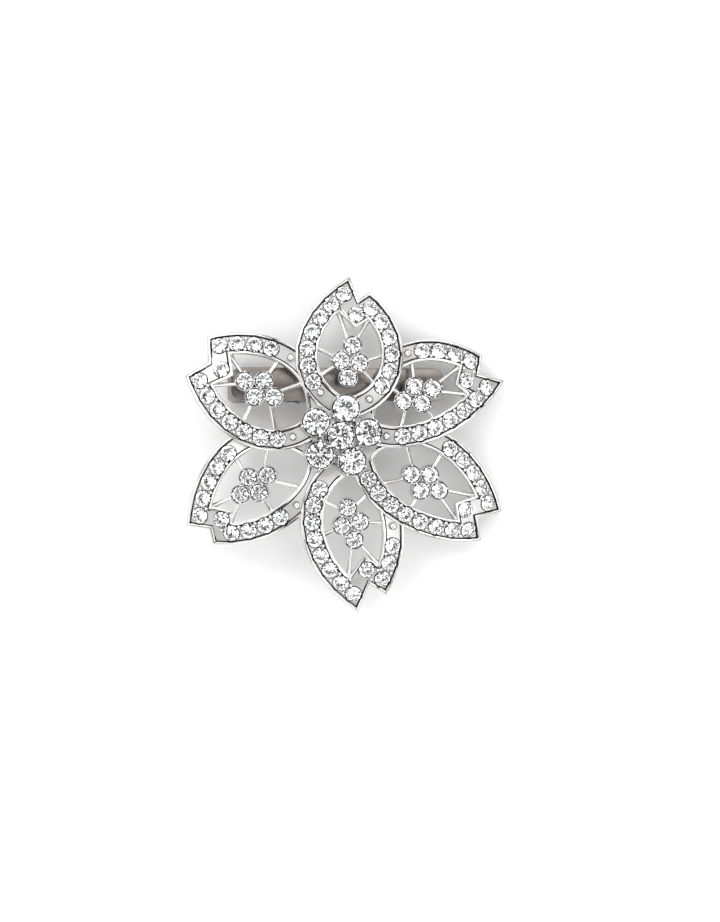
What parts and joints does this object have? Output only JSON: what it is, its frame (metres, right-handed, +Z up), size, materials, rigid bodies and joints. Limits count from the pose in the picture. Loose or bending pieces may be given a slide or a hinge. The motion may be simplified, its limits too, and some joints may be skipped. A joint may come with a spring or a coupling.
{
  "type": "rhinestone hair clip",
  "caption": "Flower hair clip: pierced petals with rhinestone borders and clusters round a stone-set centre, soldered to a sprung alligator clip.",
  "frame": {"origin": "on the table that the clip lies on, under the middle of its box", "axes": "+Z up from the table, +Y from the flower's centre to its top petal, +X along the clip from its lever to its nose. The flower leans a few degrees because it rests on the clip's lever and on the long points of two petals."},
  "size_m": [0.0482, 0.0504, 0.0121],
  "materials": {
    "plated_casting": "bright rhodium-like plating on a die casting",
    "crystal": "clear foil-backed rhinestone",
    "clip_steel": "bright nickel-plated spring steel",
    "pin_steel": "drawn steel",
    "spring_wire": "drawn spring wire",
    "solder": "plated over soft solder"
  },
  "bodies": {
    "flower": {"petal_frame_top": "plated_casting", "petal_frame_upper_right": "plated_casting", "petal_frame_lower_right": "plated_casting", "petal_frame_bottom": "plated_casting", "petal_frame_lower_left": "plated_casting", "petal_frame_upper_left": "plated_casting", "border_stones_top": "crystal", "border_stones_upper_right": "crystal", "border_stones_lower_right": "crystal", "border_stones_bottom": "crystal", "border_stones_lower_left": "crystal", "border_stones_upper_left": "crystal", "openwork_top": "plated_casting", "openwork_upper_right": "plated_casting", "openwork_lower_right": "plated_casting", "openwork_bottom": "plated_casting", "openwork_lower_left": "plated_casting", "openwork_upper_left": "plated_casting", "cluster_stones_top": "crystal", "cluster_stones_upper_right": "crystal", "cluster_stones_lower_right": "crystal", "cluster_stones_bottom": "crystal", "cluster_stones_lower_left": "crystal", "cluster_stones_upper_left": "crystal", "centre_setting": "plated_casting", "centre_stones": "crystal", "hub_plate": "plated_casting", "hub_rivet": "plated_casting", "solder_pads": "solder", "clip_top_plate": "clip_steel", "clip_hinge_pin": "pin_steel", "clip_spring": "spring_wire"},
    "lower_jaw": {"clip_lower_jaw": "clip_steel"}
  },
  "joints": [
    {"name": "jaw_hinge", "type": "hinge", "parent": "flower", "child": "lower_jaw", "pos_m": [-0.0079, 0.00894, 0.00399], "axis": [0, 0.9995, -0.0303], "range_deg": [0, 30], "stiffness_Nm_per_rad": 0.01, "springref_deg": -5.73, "deforming": ["clip_spring"]}
  ]
}
